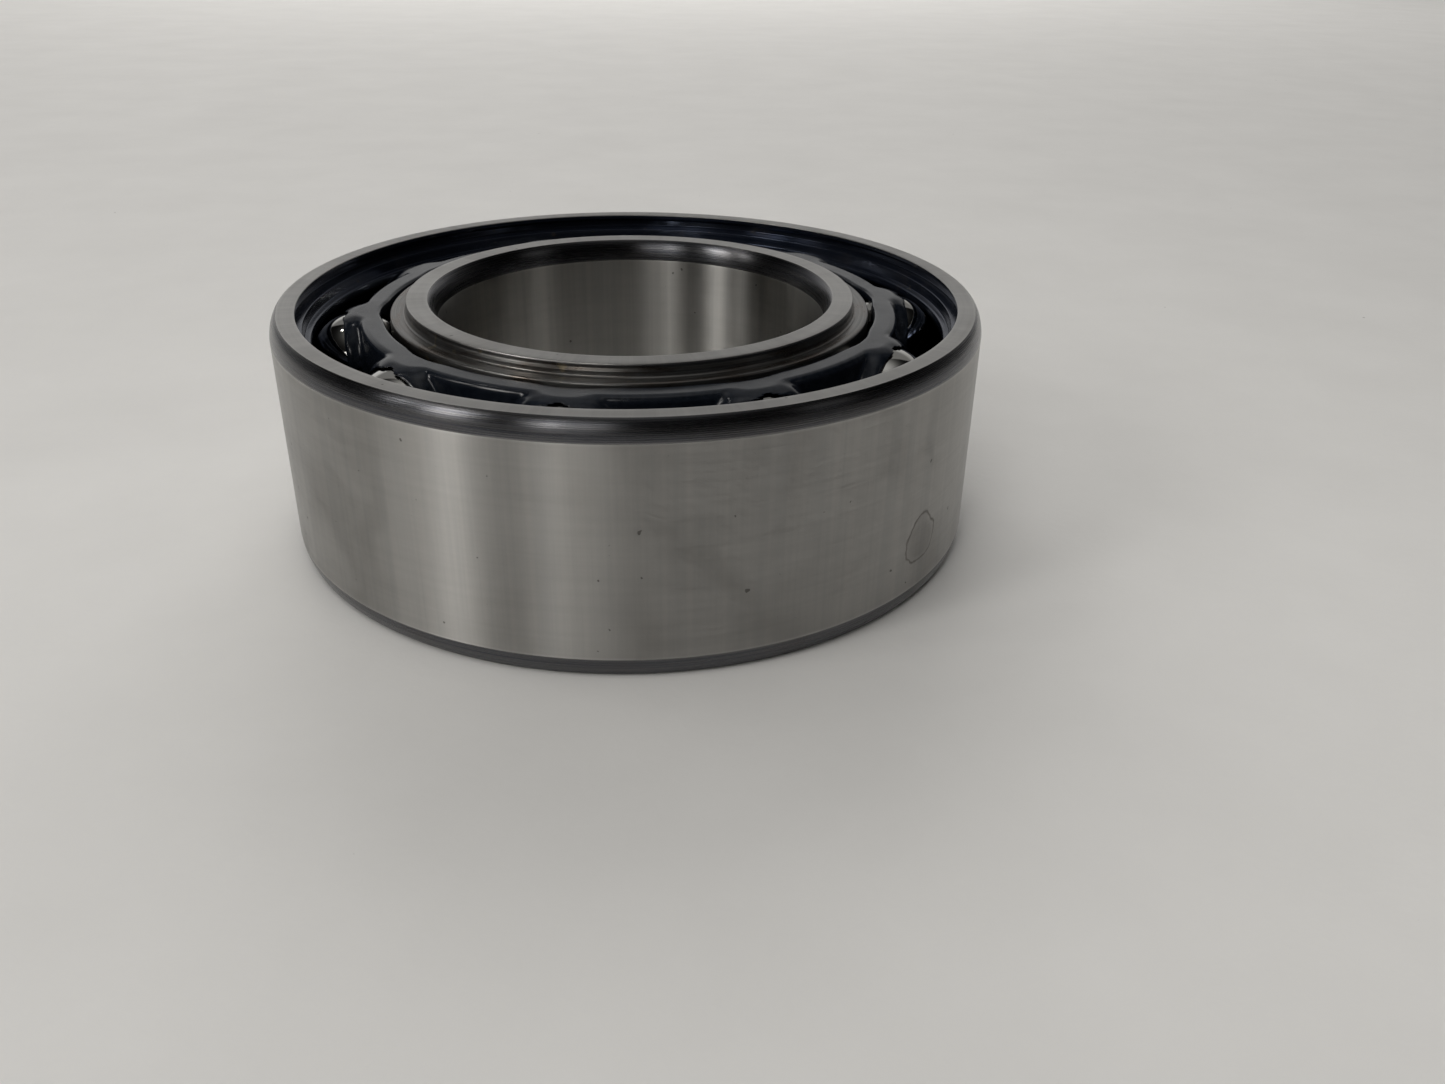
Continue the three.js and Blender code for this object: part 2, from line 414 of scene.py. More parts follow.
def net_vertices(values):
    """One vertex, in grid cells, for each cell that the zero surface crosses: the mean of the
    crossings on its edges. Also the vertex's number for each cell, or -1."""
    sizes = values.shape
    around = np.arange(sizes[0])
    total = np.zeros((sizes[0], sizes[1] - 1, sizes[2] - 1, 3))
    crossings = np.zeros(total.shape[:3])

    def corner(i, j, k):
        rolled = values[(around + i) % sizes[0]]
        return rolled[:, j : sizes[1] - 1 + j, k : sizes[2] - 1 + k]

    for axis in range(3):
        for first in (0, 1):
            for second in (0, 1):
                start = [first, second]
                start.insert(axis, 0)
                end = list(start)
                end[axis] = 1
                a, b = corner(*start), corner(*end)
                crossed = (a < 0) != (b < 0)
                share = np.where(crossed, a / np.where(crossed, a - b, 1), 0)
                for direction in range(3):
                    at = share if direction == axis else start[direction]
                    total[..., direction] += np.where(crossed, at, 0)
                crossings += crossed
    cells = np.argwhere(crossings > 0)
    number = np.full(crossings.shape, -1)
    number[tuple(cells.T)] = np.arange(len(cells))
    return total[tuple(cells.T)] / crossings[tuple(cells.T)][:, None] + cells, number


def net_faces(inside, number):
    """One quad, facing out, for each grid edge that the zero surface crosses."""
    faces = []
    for axis in range(3):
        changed = inside != np.roll(inside, -1, axis=axis)
        if axis > 0:
            # Only the first axis closes on itself.
            changed[(slice(None),) * axis + (-1,)] = False
        nodes = np.argwhere(changed)
        b, c = (axis + 1) % 3, (axis + 2) % 3
        ring = []
        for shift_b, shift_c in ((0, 0), (1, 0), (1, 1), (0, 1)):
            cell = nodes.copy()
            cell[:, b] -= shift_b
            cell[:, c] -= shift_c
            cell[:, 0] %= inside.shape[0]
            ring.append(number[tuple(cell.T)])
        quads = np.stack(ring, axis=-1)
        # The axes run round, out and up, which is left-handed.
        leaving = inside[tuple(nodes.T)]
        quads[leaving] = quads[leaving][:, ::-1]
        faces.append(quads)
    return np.concatenate(faces)


def settled(points, rounds=3):
    """Points moved onto the cage's surface, and the surface's direction at each."""
    reach = np.array([0.02, 0.01, 0.01])
    longest_move = 0.06
    least_steepness = 0.2
    for _ in range(rounds):
        slopes = []
        for axis in range(3):
            step = np.zeros(3)
            step[axis] = reach[axis]
            ahead, behind = cage_distance(*(points + step).T), cage_distance(*(points - step).T)
            slopes.append((ahead - behind) / (2 * reach[axis]))
        slope = np.stack(slopes, axis=-1)
        per_degree = math.radians(1) * points[:, 1]
        ones = np.ones_like(per_degree)
        direction = slope / np.stack([per_degree, ones, ones], axis=-1)
        steepness = np.maximum((direction**2).sum(axis=1), least_steepness)
        move = -np.clip(cage_distance(*points.T) / steepness, -longest_move, longest_move)
        move = move[:, None] * direction
        move[:, 0] /= per_degree
        points = points + move
    return points, direction / np.linalg.norm(direction, axis=1, keepdims=True)


CAGE_TURN_STEP = 0.5  # degrees
CAGE_RADIAL_STEP = 0.15
CAGE_LOW_STEP, CAGE_HIGH_STEP = 0.42, 0.12  # the visible top has the finer one
CAGE_FINE_DEPTH = 2.4


def cage_mesh():
    """The upper cage's vertices, quads and normals, with its first ball at azimuth 0."""
    # The grid stands clear of the cage on every side.
    azimuths = np.arange(0, 360, CAGE_TURN_STEP)
    radial = np.arange(CAGE_INNER_RADIUS - 0.5, CAGE_OUTER_RADIUS + 0.9, CAGE_RADIAL_STEP)
    low = np.arange(CAGE_BOTTOM - 0.6, CAGE_TOP - CAGE_FINE_DEPTH, CAGE_LOW_STEP)
    high = np.arange(low[-1] + CAGE_HIGH_STEP, CAGE_TOP + 0.3, CAGE_HIGH_STEP)
    up = np.concatenate([low, high])
    values = cage_distance(*np.meshgrid(azimuths, radial, up, indexing="ij"))
    places, number = net_vertices(values)
    faces = net_faces(values < 0, number)
    points, normals = settled(np.stack([
        places[:, 0] * CAGE_TURN_STEP,
        np.interp(places[:, 1], np.arange(len(radial)), radial),
        np.interp(places[:, 2], np.arange(len(up)), up),
    ], axis=-1))
    angle = np.radians(points[:, 0])
    cos, sin = np.cos(angle), np.sin(angle)
    vertices = np.stack([points[:, 1] * cos, points[:, 1] * sin, points[:, 2]], axis=-1)
    normals = np.stack([
        normals[:, 1] * cos - normals[:, 0] * sin,
        normals[:, 1] * sin + normals[:, 0] * cos,
        normals[:, 2],
    ], axis=-1)
    return vertices, faces, normals


# ---- shader nodes ----

class Nodes:
    """A node tree, with one short call for each kind of node."""

    def __init__(self, tree):
        self.tree = tree

    def node(self, kind, **settings):
        made = self.tree.nodes.new(kind)
        for key, value in settings.items():
            setattr(made, key, value)
        return made

    def link(self, value, socket):
        """Joins a node's output to a socket, or sets the socket's own value."""
        if isinstance(value, bpy.types.NodeSocket):
            self.tree.links.new(value, socket)
        else:
            socket.default_value = value

    def joined(self, made, values):
        """A node, with values linked to its first inputs."""
        for value, socket in zip(values, made.inputs):
            self.link(value, socket)
        return made

    def separate(self, vector):
        return self.joined(self.node("ShaderNodeSeparateXYZ"), (vector,)).outputs

    def combine(self, x, y, z):
        return self.joined(self.node("ShaderNodeCombineXYZ"), (x, y, z)).outputs[0]

    def math(self, operation, a, b=0.0, c=0.0):
        return self.joined(self.node("ShaderNodeMath", operation=operation), (a, b, c)).outputs[0]

    def scaled(self, value, factor, offset=0.0):
        return self.math("MULTIPLY_ADD", value, factor, offset)

    def vector_math(self, operation, a, b, result="Value"):
        made = self.node("ShaderNodeVectorMath", operation=operation)
        return self.joined(made, (a, b)).outputs[result]

    def spread(self, value, low, high, to_low=0.0, to_high=1.0, smooth=False):
        """Maps low..high to to_low..to_high and holds it there outside."""
        kind = "SMOOTHSTEP" if smooth else "LINEAR"
        made = self.node("ShaderNodeMapRange", interpolation_type=kind)
        return self.joined(made, (value, low, high, to_low, to_high)).outputs[0]


# Noise mostly keeps between these.
NOISE_LOW, NOISE_HIGH = 0.3, 0.7
STREAK_FADE = 12.0  # noise cells per metre along an upright streak


class Finish(Nodes):
    """A material, with its place on the object and the calls that finishes share."""

    def __init__(self, name):
        self.material = bpy.data.materials.new(name)
        self.material.use_nodes = True
        super().__init__(self.material.node_tree)
        self.surface = self.tree.nodes["Principled BSDF"]
        self.position = self.node("ShaderNodeTexCoord").outputs["Object"]
        self.x, self.y, self.z = self.separate(self.position)

    def set(self, **inputs):
        """Sets inputs of the surface: base_color=... sets Base Color, and so on."""
        names = {name.lower().replace(" ", "_"): name for name in self.surface.inputs.keys()}
        for key, value in inputs.items():
            self.link(value, self.surface.inputs[names[key]])

    def varied(self, noise, low=0.0, high=1.0):
        """A value that goes from low to high with a noise."""
        return self.spread(noise, NOISE_LOW, NOISE_HIGH, low, high)

    def band(self, value, middle, half_width):
        """1 at middle, falling smoothly to 0 at half_width to either side."""
        gap = self.math("ABSOLUTE", self.math("SUBTRACT", value, middle))
        return self.spread(gap, 0.0, half_width, 1.0, 0.0, smooth=True)

    def painted_edge_highlight(self, width):
        """1 at the edges of the section's zones, falling smoothly to 0 at width from them: the
        mask of a painted edge highlight.
        """
        return self.spread(self.attribute("zone_edge"), 0.0, width, 1.0, 0.0, smooth=True)

    def noise(self, vector, scale=1.0, detail=3.0, roughness=0.5, distortion=0.0):
        made = self.node("ShaderNodeTexNoise")
        self.link(vector, made.inputs["Vector"])
        made.inputs["Scale"].default_value = scale
        made.inputs["Detail"].default_value = detail
        made.inputs["Roughness"].default_value = roughness
        made.inputs["Distortion"].default_value = distortion
        return made.outputs[0]

    def colour(self, factor, first, second):
        made = self.node("ShaderNodeMix", data_type="RGBA")
        self.link(factor, made.inputs["Factor"])
        for value, socket in ((first, made.inputs[6]), (second, made.inputs[7])):
            self.link((*value, 1.0) if isinstance(value, tuple) else value, socket)
        return made.outputs[2]

    def bump(self, layers):
        """Normals from (height, depth in metres) layers, the last one laid over the others."""
        normal = None
        for height, depth in layers:
            made = self.node("ShaderNodeBump")
            made.inputs["Distance"].default_value = depth
            self.link(height, made.inputs["Height"])
            if normal is not None:
                self.link(normal, made.inputs["Normal"])
            normal = made.outputs[0]
        return normal

    def attribute(self, name):
        return self.node("ShaderNodeAttribute", attribute_name=name).outputs["Fac"]

    def round_axis(self, cells, along):
        """A vector for noise that has so many cells per radian round the axis."""
        square = self.math("ADD", self.math("POWER", self.x, 2.0), self.math("POWER", self.y, 2.0))
        radius = self.math("SQRT", square)
        return self.combine(
            self.scaled(self.math("DIVIDE", self.x, radius), cells),
            self.scaled(self.math("DIVIDE", self.y, radius), cells),
            along,
        )

    def turned(self, lines_per_mm, wander):
        """A vector for noise that runs in lines round the axis. wander is how fast lines fade
        in and out along their length, in noise cells per radian."""
        along = self.scaled(self.attribute("section_path"), lines_per_mm / MM)
        return self.round_axis(wander, along)

    def upright(self, streaks_per_radian):
        """A vector for noise that runs in streaks parallel to the axis."""
        return self.round_axis(streaks_per_radian, self.scaled(self.z, STREAK_FADE))

    def grain_round_axis(self, strength):
        """Highlights that stretch across the turning lines."""
        tangent = self.node("ShaderNodeTangent", direction_type="RADIAL", axis="Z")
        self.set(anisotropic=strength, anisotropic_rotation=0.25, tangent=tangent.outputs[0])


# ---- colours, from the ground steel's to the floor's ----
GROUND_SIDE = (0.53, 0.52, 0.50)
GROUND_OUTSIDE = (0.48, 0.47, 0.45)
GROUND_BORE = (0.49, 0.48, 0.455)
SMUDGE = (0.43, 0.415, 0.385)
# Darker upright bands: a painted reflection of the room's streaks on the ground steel.
PAINTED_REFLECTION_STREAK = (0.33, 0.33, 0.33)
PIT = (0.10, 0.095, 0.085)
# Lighter colour along the ground steel's edges: a painted edge highlight.
GROUND_EDGE_HIGHLIGHT = (0.72, 0.71, 0.69)
DRIED_DROP = (0.16, 0.14, 0.12)
TURNED_DARK, TURNED_PALE = (0.082, 0.085, 0.098), (0.155, 0.154, 0.157)
TURNED_TARNISH = (0.10, 0.09, 0.085)
# Lighter colour along the turned corners' edges: a painted edge highlight.
TURNED_EDGE_HIGHLIGHT = (0.4, 0.39, 0.375)
RECESS_DARK, RECESS_PALE = (0.024, 0.033, 0.060), (0.060, 0.070, 0.095)
RECESS_FILM = (0.09, 0.08, 0.078)
RECESS_SPECK = (0.22, 0.19, 0.15)
SHOULDER_DARK, SHOULDER_PALE = (0.11, 0.11, 0.108), (0.27, 0.265, 0.255)
OLD_OIL = (0.11, 0.078, 0.055)
OIL_SPOT = (0.36, 0.30, 0.18)
# The raceways' steel is painted dark and a little blue: shade of the deep grooves between the
# rings.
SHADED_RACE_DARK, SHADED_RACE_PALE = (0.085, 0.092, 0.11), (0.14, 0.145, 0.155)
# The faint blue in these blacks is painted: a haze of stray light over the darkest places.
POLYAMIDE_DARK, POLYAMIDE_PALE = (0.005, 0.007, 0.011), (0.011, 0.014, 0.020)
BALL_CLEAN, BALL_OILY = (0.74, 0.735, 0.71), (0.66, 0.645, 0.60)
PAPER_DARK, PAPER_PALE = (0.725, 0.72, 0.705), (0.765, 0.76, 0.745)
GRIT = (0.22, 0.21, 0.20)


def ground_steel(name, roughness, grain, tint, stained=False):
    """Ground steel: fine lines round the axis, faint upright bands of painted reflection, smudges
    and a few pits, with a painted highlight along each edge.
    """
    finish = Finish(name)
    fine = finish.noise(
        finish.turned(lines_per_mm=7.0, wander=3.0), detail=4.0, roughness=0.65
    )
    broad = finish.noise(finish.turned(lines_per_mm=1.3, wander=2.2), detail=2.0)
    smudge = finish.noise(
        finish.position, scale=90.0, detail=4.0, roughness=0.6, distortion=0.6
    )
    streaks = finish.noise(finish.upright(26.0), detail=4.0, roughness=0.7)
    pit = finish.spread(finish.noise(finish.position, scale=900.0, detail=1.0), 0.775, 0.80)
    edge_highlight = finish.painted_edge_highlight(0.35 * MM)
    darker = tuple(0.94 * channel for channel in tint)
    colour = finish.colour(finish.varied(broad), darker, tint)
    colour = finish.colour(finish.spread(smudge, 0.52, 0.75, 0.0, 0.25), colour, SMUDGE)
    # Upright bands darkened: a painted reflection of the room, stretched along the axis.
    colour = finish.colour(finish.spread(streaks, 0.38, 0.6, 0.30, 0.0), colour, PAINTED_REFLECTION_STREAK)
    colour = finish.colour(finish.scaled(pit, 0.75), colour, PIT)
    # Lighter along each edge: a painted highlight.
    colour = finish.colour(finish.scaled(edge_highlight, 0.3), colour, GROUND_EDGE_HIGHLIGHT)
    rough = finish.varied(fine, roughness - 0.04, roughness + 0.05)
    rough = finish.math("ADD", rough, finish.spread(smudge, 0.45, 0.75, 0.0, 0.07))
    if stained:
        colour, rough = with_ring_stain(finish, colour, rough)
    finish.set(
        base_color=colour,
        metallic=1.0,
        roughness=rough,
        normal=finish.bump([(fine, 0.0016 * MM), (finish.math("SUBTRACT", 1.0, pit), 0.01 * MM)]),
    )
    finish.grain_round_axis(grain)
    return finish.material


STAIN_AZIMUTH = -42.0
STAIN_HEIGHT = -6.4 * MM
STAIN_SIZE = 3.1 * MM
STAIN_RIM = 0.26 * MM
STAIN_WOBBLE = 2.0 * MM


def with_ring_stain(finish, colour, rough):
    """Adds the faint dried ring that a drop left on the outside, front right."""
    place = direction(STAIN_AZIMUTH, 0) * OUTSIDE_RADIUS * MM
    place.z = STAIN_HEIGHT
    away = finish.vector_math("DISTANCE", finish.position, place)
    wobble = finish.noise(finish.position, scale=350.0, detail=3.0)
    moved = finish.scaled(wobble, STAIN_WOBBLE, -STAIN_WOBBLE / 2)
    distance = finish.math("ADD", away, moved)
    rim = finish.band(distance, STAIN_SIZE, STAIN_RIM)
    blot = finish.spread(distance, 0.7 * STAIN_SIZE, STAIN_SIZE, 1.0, 0.0)
    mark = finish.math("MAXIMUM", finish.scaled(rim, 0.5), finish.scaled(blot, 0.16))
    colour = finish.colour(mark, colour, DRIED_DROP)
    return colour, finish.math("ADD", rough, finish.scaled(mark, 0.18))


TURNING_FEED = 0.21 * MM


def turned_steel(name):
    """The dark corners left as turned: fine ridges round the axis and a painted highlight along
    the edges.
    """
    finish = Finish(name)
    ridges = finish.noise(finish.turned(lines_per_mm=3.6, wander=1.2), detail=3.0, roughness=0.6)
    turns = finish.scaled(finish.attribute("section_path"), 2 * math.pi / TURNING_FEED)
    feed = finish.math("SINE", turns)
    fine = finish.noise(finish.turned(lines_per_mm=11.0, wander=3.0), detail=2.0)
    tone = finish.noise(finish.position, scale=120.0, detail=3.0)
    edge_highlight = finish.painted_edge_highlight(0.22 * MM)
    colour = finish.colour(finish.varied(ridges), TURNED_DARK, TURNED_PALE)
    colour = finish.colour(finish.spread(tone, 0.5, 0.75, 0.0, 0.4), colour, TURNED_TARNISH)
    # Lighter along each edge: a painted highlight.
    colour = finish.colour(finish.scaled(edge_highlight, 0.4), colour, TURNED_EDGE_HIGHLIGHT)
    finish.set(
        base_color=colour,
        metallic=1.0,
        roughness=finish.varied(fine, 0.22, 0.33),
        normal=finish.bump([(ridges, 0.006 * MM), (feed, 0.0015 * MM), (fine, 0.002 * MM)]),
    )
    finish.grain_round_axis(0.75)
    return finish.material


def oiled_recess():
    """The blue-black seal recess under a film of oil, with specks."""
    finish = Finish("oiled_recess")
    lines = finish.noise(finish.turned(lines_per_mm=2.4, wander=1.5), detail=3.0)
    film = finish.noise(finish.position, scale=160.0, detail=4.0, distortion=0.8)
    speck = finish.spread(finish.noise(finish.position, scale=620.0, detail=2.0), 0.70, 0.74)
    colour = finish.colour(finish.spread(lines, 0.35, 0.7), RECESS_DARK, RECESS_PALE)
    colour = finish.colour(finish.spread(film, 0.58, 0.75, 0.0, 0.5), colour, RECESS_FILM)
    colour = finish.colour(finish.scaled(speck, 0.6), colour, RECESS_SPECK)
    finish.set(
        base_color=colour,
        metallic=0.85,
        roughness=finish.varied(film, 0.13, 0.27),
        coat_weight=0.1,
        coat_roughness=0.12,
        normal=finish.bump([(lines, 0.004 * MM), (film, 0.02 * MM), (speck, 0.03 * MM)]),
    )
    finish.grain_round_axis(0.5)
    return finish.material


def oiled_shoulder():
    """The inner ring's stepped shoulder: steel in bands, browned by old oil."""
    finish = Finish("oiled_shoulder")
    lines = finish.noise(finish.turned(lines_per_mm=4.2, wander=0.9), detail=4.0, roughness=0.6)
    wet = finish.noise(finish.turned(lines_per_mm=0.8, wander=4.5), detail=4.0, roughness=0.6)
    spot = finish.spread(finish.noise(finish.position, scale=420.0, detail=3.0), 0.66, 0.72)
    colour = finish.colour(finish.varied(lines), SHOULDER_DARK, SHOULDER_PALE)
    colour = finish.colour(finish.spread(wet, 0.45, 0.65, 0.0, 0.75), colour, OLD_OIL)
    colour = finish.colour(finish.scaled(spot, 0.5), colour, OIL_SPOT)
    finish.set(
        base_color=colour,
        metallic=0.95,
        roughness=finish.varied(wet, 0.38, 0.24),
        coat_weight=0.2,
        coat_roughness=0.12,
        normal=finish.bump([(lines, 0.006 * MM), (wet, 0.02 * MM), (spot, 0.02 * MM)]),
    )
    finish.grain_round_axis(0.5)
    return finish.material


def honed_race():
    """The raceways and the lands between them: honed steel under a film of oil, its colour kept
    dark as painted shade of the deep grooves.
    """
    finish = Finish("honed_race")
    lines = finish.noise(finish.turned(lines_per_mm=5.0, wander=1.5), detail=3.0)
    film = finish.noise(finish.position, scale=140.0, detail=3.0)
    finish.set(
        # Kept dark: painted shade for the deep grooves.
        base_color=finish.colour(finish.varied(lines), SHADED_RACE_DARK, SHADED_RACE_PALE),
        metallic=1.0,
        roughness=finish.varied(film, 0.10, 0.18),
        normal=finish.bump([(lines, 0.0012 * MM)]),
    )
    finish.grain_round_axis(0.4)
    return finish.material


def cage_polyamide():
    """Glossy black glass-filled polyamide, wet with oil: faint fibre mottle and soft pooling."""
    finish = Finish("cage_polyamide")
    fibres = finish.noise(finish.position, scale=1500.0, detail=2.0)
    flow = finish.noise(finish.position, scale=260.0, detail=4.0, distortion=0.5)
    # The blue in the black is a painted haze of stray light.
    colour = finish.colour(finish.spread(fibres, 0.35, 0.7), POLYAMIDE_DARK, POLYAMIDE_PALE)
    finish.set(
        base_color=colour,
        roughness=finish.varied(flow, 0.17, 0.27),
        ior=1.46,
        coat_weight=0.15,
        coat_roughness=0.06,
        normal=finish.bump([(flow, 0.02 * MM), (fibres, 0.0015 * MM)]),
    )
    return finish.material


def ball_steel():
    """Polished ball steel with hair scratches under a thin film of oil."""
    finish = Finish("ball_steel")
    # All balls share one mesh, so each one's own place is added for a pattern of its own.
    place = finish.node("ShaderNodeObjectInfo").outputs["Location"]
    moved = finish.vector_math("ADD", finish.position, place, result="Vector")
    stretch = finish.node("ShaderNodeMapping", vector_type="POINT")
    finish.link(moved, stretch.inputs["Vector"])
    stretch.inputs["Rotation"].default_value = (0.5, 0.9, 0.3)
    stretch.inputs["Scale"].default_value = (4000.0, 180.0, 900.0)
    hairs = finish.noise(stretch.outputs[0], detail=2.0)
    film = finish.noise(moved, scale=300.0, detail=3.0)
    finish.set(
        base_color=finish.colour(finish.spread(film, 0.4, 0.7), BALL_CLEAN, BALL_OILY),
        metallic=1.0,
        roughness=finish.spread(hairs, 0.45, 0.75, 0.045, 0.10),
        normal=finish.bump([(hairs, 0.0006 * MM)]),
    )
    return finish.material


def paper_floor():
    """Pale matt paper with a barely visible mottle and sparse dark grit."""
    finish = Finish("paper_floor")
    mottle = finish.noise(finish.position, scale=30.0, detail=5.0, roughness=0.6)
    tooth = finish.noise(finish.position, scale=900.0, detail=3.0)
    grit = finish.noise(finish.position, scale=330.0, detail=2.0)
    colour = finish.colour(finish.varied(mottle), PAPER_DARK, PAPER_PALE)
    colour = finish.colour(finish.spread(grit, 0.785, 0.81, 0.0, 0.7), colour, GRIT)
    finish.set(
        base_color=colour,
        roughness=0.7,
        specular_ior_level=0.25,
        normal=finish.bump([(tooth, 0.03 * MM)]),
    )
    return finish.material


# ---- pieces ----

def settle(piece, node):
    """Puts a piece in a CAD node's stead: it rides on the node's body and shows in its place."""
    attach(piece, frame["nodes"][node]["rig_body"])
    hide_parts(node)


def build_rings():
    race = honed_race()
    side = ground_steel("ground_side", roughness=0.34, grain=0.4, tint=GROUND_SIDE)
    corner = turned_steel("turned_corner")
    outer = revolved("outer_ring_fine", outer_ring_section(), {
        "race": race,
        "recess": oiled_recess(),
        "side": side,
        "corner": corner,
        "ground": ground_steel(
            "ground_outside", roughness=0.36, grain=1.0, tint=GROUND_OUTSIDE, stained=True
        ),
    })
    inner = revolved("inner_ring_fine", inner_ring_section(), {
        "ground": ground_steel("ground_bore", roughness=0.33, grain=1.0, tint=GROUND_BORE),
        "corner": corner,
        "side": side,
        "shoulder": oiled_shoulder(),
        "race": race,
    })
    settle(outer, "outer_ring")
    settle(inner, "inner_ring")


def build_cages():
    vertices, faces, normals = cage_mesh()
    material = cage_polyamide()
    for row in ROWS:
        first = centre(BALLS[row][0])
        turn = Matrix.Rotation(math.atan2(first.y, first.x), 3, "Z")
        if row == "lower":
            turn = turn @ Matrix.Rotation(math.pi, 3, "X")
        turn = np.array(turn)
        node = f"cage_{row}"
        piece = new_object(f"{node}_fine", vertices @ turn.T, faces, [material])
        piece.data.normals_split_custom_set_from_vertices((normals @ turn.T).tolist())
        settle(piece, node)


BALL_CUTS = 19  # across each edge of the cube that a ball starts as


def ball_mesh(material):
    """A cube divided evenly and drawn out to the ball's radius, so that it has no poles."""
    grid = bmesh.new()
    bmesh.ops.create_cube(grid, size=2.0)
    bmesh.ops.subdivide_edges(grid, edges=grid.edges[:], cuts=BALL_CUTS, use_grid_fill=True)
    for vertex in grid.verts:
        even = Vector([math.tan(c * math.pi / 4) for c in vertex.co])
        vertex.co = even.normalized() * BALL_RADIUS * MM
    mesh = bpy.data.meshes.new("ball_fine")
    grid.to_mesh(mesh)
    grid.free()
    mesh.materials.append(material)
    mesh.shade_smooth()
    return mesh


def build_balls():
    mesh = ball_mesh(ball_steel())
    for row in ROWS:
        for node in BALLS[row]:
            piece = bpy.data.objects.new(f"{node}_fine", mesh)
            bpy.context.scene.collection.objects.link(piece)
            piece.location = centre(node)
            piece.rotation_euler.z = math.atan2(piece.location.y, piece.location.x)
            settle(piece, node)


# ---- floor, light and camera ----

FLOOR_REACH = 3.0


def build_floor():
    corners = np.array([(-1, -1, 0), (1, -1, 0), (1, 1, 0), (-1, 1, 0)]) * FLOOR_REACH
    floor = new_object("floor", corners / MM, [(0, 1, 2, 3)], [paper_floor()])
    floor.location.z = -HALF_WIDTH * MM


def direction(azimuth, elevation):
    a, e = math.radians(azimuth), math.radians(elevation)
    return Vector((math.cos(a) * math.cos(e), math.sin(a) * math.cos(e), math.sin(e)))


# The room that the steel mirrors. Low soft glows: azimuth, elevation, sharpness, strength.
ROOM_GLOWS = (
    (90, 12, 3.0, 0.10),
    (90, 8, 8.0, 0.20),
    (125, 10, 8.0, 0.24),
    (55, 10, 8.0, 0.10),
)
GLOWS_END, GLOWS_FULL = 0.50, 0.36  # sines of the elevations between which they fade
# The pale wall behind the bearing, a disc with a fairly sharp edge.
WALL_MIDDLE = (88, 25)
WALL_REACH = 40.5
WALL_SOFTNESS = 0.015
WALL_STRENGTH = 0.17
CEILING_SHARPNESS, CEILING_STRENGTH = 14.0, 0.40
ROOM_DIM = 0.004
ROOM_COLOUR = (1.0, 0.99, 0.975, 1.0)
BACKDROP_STRENGTH = 0.62  # what the camera sees past the floor's edge


def room_strength(room):
    """The room's light from each direction, but for what the camera itself sees."""
    look = room.node("ShaderNodeTexCoord").outputs["Generated"]
    height = room.separate(look)[2]
    glows = 0.0
    for azimuth, elevation, sharpness, strength in ROOM_GLOWS:
        facing = room.vector_math("DOT_PRODUCT", look, direction(azimuth, elevation))
        lobe = room.math("POWER", room.math("MAXIMUM", facing, 0.0), sharpness)
        glows = room.scaled(lobe, strength, glows)
    glows = room.math("MULTIPLY", glows, room.spread(height, GLOWS_END, GLOWS_FULL))
    facing = room.vector_math("DOT_PRODUCT", look, direction(*WALL_MIDDLE))
    edge = math.cos(math.radians(WALL_REACH))
    wall = room.spread(facing, edge - WALL_SOFTNESS, edge + WALL_SOFTNESS)
    ceiling = room.math("POWER", room.math("MAXIMUM", height, 0.0), CEILING_SHARPNESS)
    total = room.scaled(wall, WALL_STRENGTH, glows)
    total = room.scaled(ceiling, CEILING_STRENGTH, total)
    return room.math("ADD", total, ROOM_DIM)


def build_room():
    world = bpy.data.worlds.new("studio")
    bpy.context.scene.world = world
    world.use_nodes = True
    room = Nodes(world.node_tree)
    strength = room_strength(room)
    to_camera = room.node("ShaderNodeLightPath").outputs["Is Camera Ray"]
    change = room.math("SUBTRACT", BACKDROP_STRENGTH, strength)
    background = world.node_tree.nodes["Background"]
    background.inputs["Color"].default_value = ROOM_COLOUR
    room.link(room.scaled(to_camera, change, strength), background.inputs["Strength"])


LIGHT_TINT = (1.0, 0.98, 0.95)
# Lights have a name, a place (azimuth, elevation, distance), a size and watts.
# Steel doesn't show these: they light the floor and the matt parts.
FLOOR_LIGHTS = (
    ("ceiling", (0, 88, 1.6), (1.2, 1.2), 0.8),
    ("room_left", (180, 55, 1.6), (1.2, 1.2), 1.8),
    ("behind", (92, 28, 1.6), (1.2, 1.2), 11.0),
    ("behind_left", (135, 40, 1.6), (1.2, 1.2), 2.3),
    ("behind_right", (50, 25, 1.6), (1.2, 0.8), 2.2),
    ("front_left", (240, 65, 1.0), (0.6, 0.6), 0.6),
    ("front_fill", (262, 62, 0.36), (0.25, 0.25), 0.22),
)
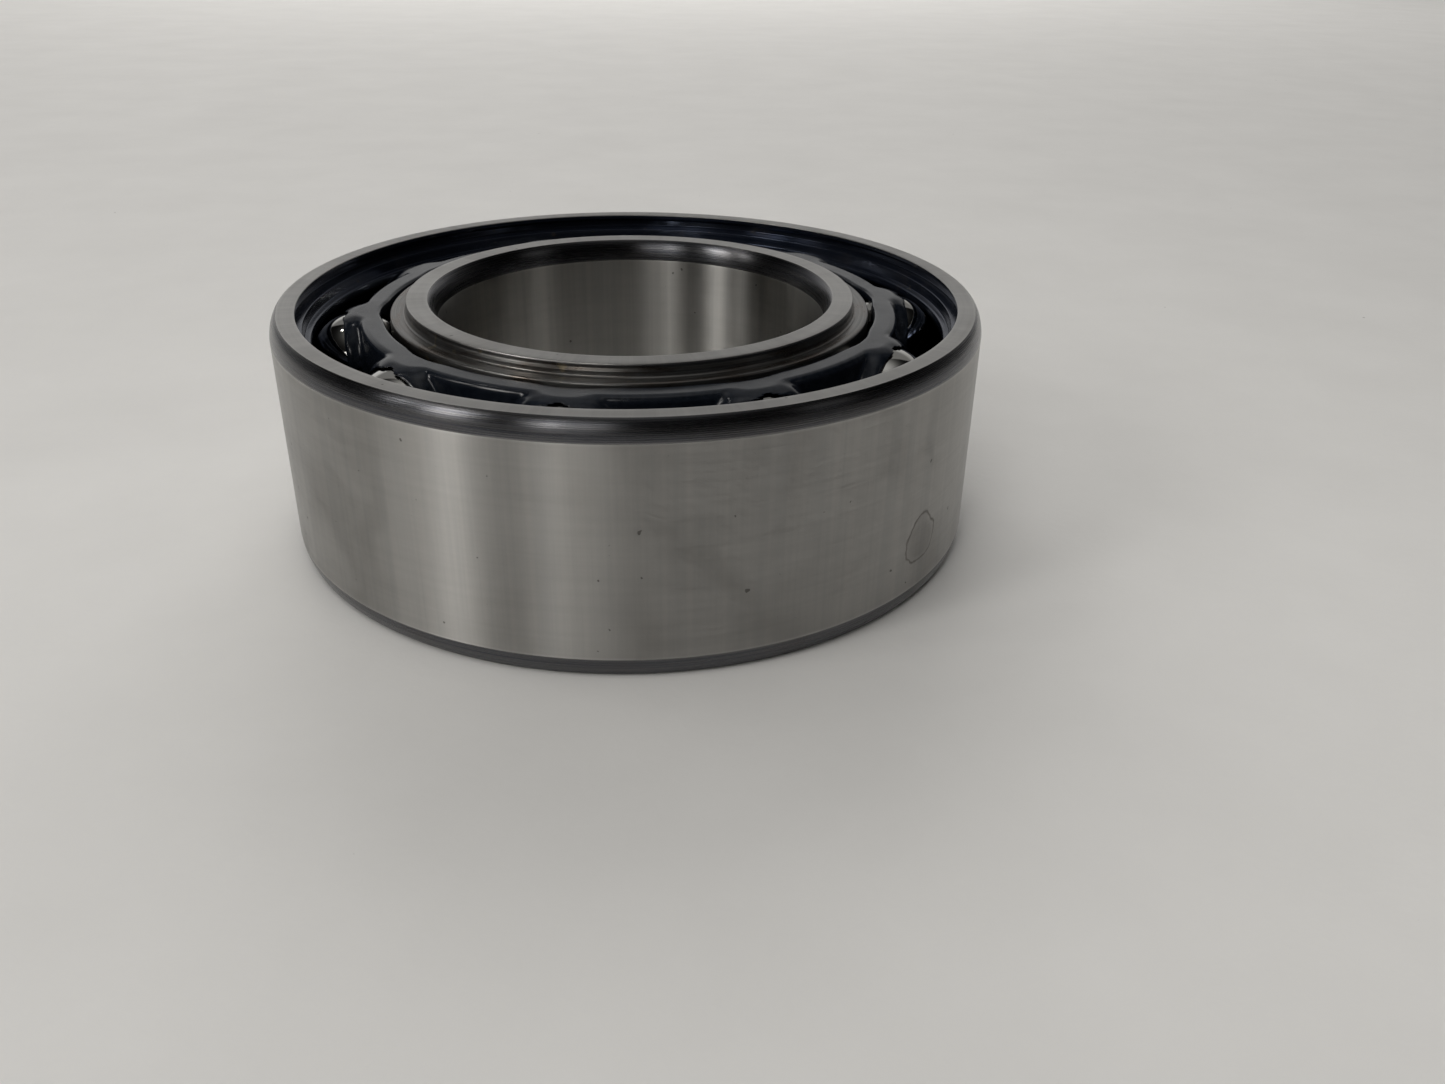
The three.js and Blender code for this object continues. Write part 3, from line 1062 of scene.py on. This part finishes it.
# Steel mirrors these: low windows, the gaps beside them and one small lamp.
MIRRORED_LIGHTS = (
    ("window", (210, 30, 1.2), (0.23, 0.40), 2.3),
    ("window_side", (192, 30, 1.2), (0.10, 0.40), 0.6),
    ("far_window", (249, 30, 1.2), (0.48, 0.40), 1.05),
    ("far_window_gap", (244, 30, 1.2), (0.05, 0.40), 0.40),
    ("side_gap", (334, 30, 1.2), (0.35, 0.40), 0.1),
    ("lamp", (157, 57, 1.2), (0.05, 0.05), 0.15),
)


def soft_box(name, place, size, watts, mirrored):
    """A rectangular light that faces the bearing."""
    azimuth, elevation, distance = place
    light = bpy.data.lights.new(name, "AREA")
    light.shape = "RECTANGLE"
    light.size, light.size_y = size
    light.energy = watts
    light.color = LIGHT_TINT
    lamp = bpy.data.objects.new(name, light)
    towards = direction(azimuth, elevation)
    lamp.location = towards * distance
    lamp.rotation_euler = towards.to_track_quat("Z", "Y").to_euler()
    lamp.visible_glossy = mirrored
    bpy.context.scene.collection.objects.link(lamp)


def build_lights():
    for light in FLOOR_LIGHTS:
        soft_box(*light, mirrored=False)
    for light in MIRRORED_LIGHTS:
        soft_box(*light, mirrored=True)


# In degrees. Yaw goes from +Y towards +X, and pitch goes down.
CAMERA_YAW, CAMERA_PITCH, CAMERA_ROLL = 4.61, 28.01, 1.06
CAMERA_PLACE = Vector((0.0, -154.0, 59.8)) * MM
CAMERA_LENS = 30.0


def build_camera():
    yaw, pitch, roll = map(math.radians, (CAMERA_YAW, CAMERA_PITCH, CAMERA_ROLL))
    ahead = Vector((
        math.sin(yaw) * math.cos(pitch),
        math.cos(yaw) * math.cos(pitch),
        -math.sin(pitch),
    ))
    level = Vector((math.cos(yaw), -math.sin(yaw), 0.0))
    upright = level.cross(ahead)
    right = level * math.cos(roll) + upright * math.sin(roll)
    up = upright * math.cos(roll) - level * math.sin(roll)
    camera = bpy.data.cameras.new("camera")
    camera.lens = CAMERA_LENS
    camera.clip_start = 0.005
    camera.clip_end = 20.0
    holder = bpy.data.objects.new("camera", camera)
    bpy.context.scene.collection.objects.link(holder)
    turn = Matrix((right, up, -ahead)).transposed().to_4x4()
    holder.matrix_world = Matrix.Translation(CAMERA_PLACE) @ turn
    bpy.context.scene.camera = holder


build_rings()
build_cages()
build_balls()
build_floor()
build_room()
build_lights()
build_camera()
bpy.context.scene.view_settings.view_transform = "Standard"
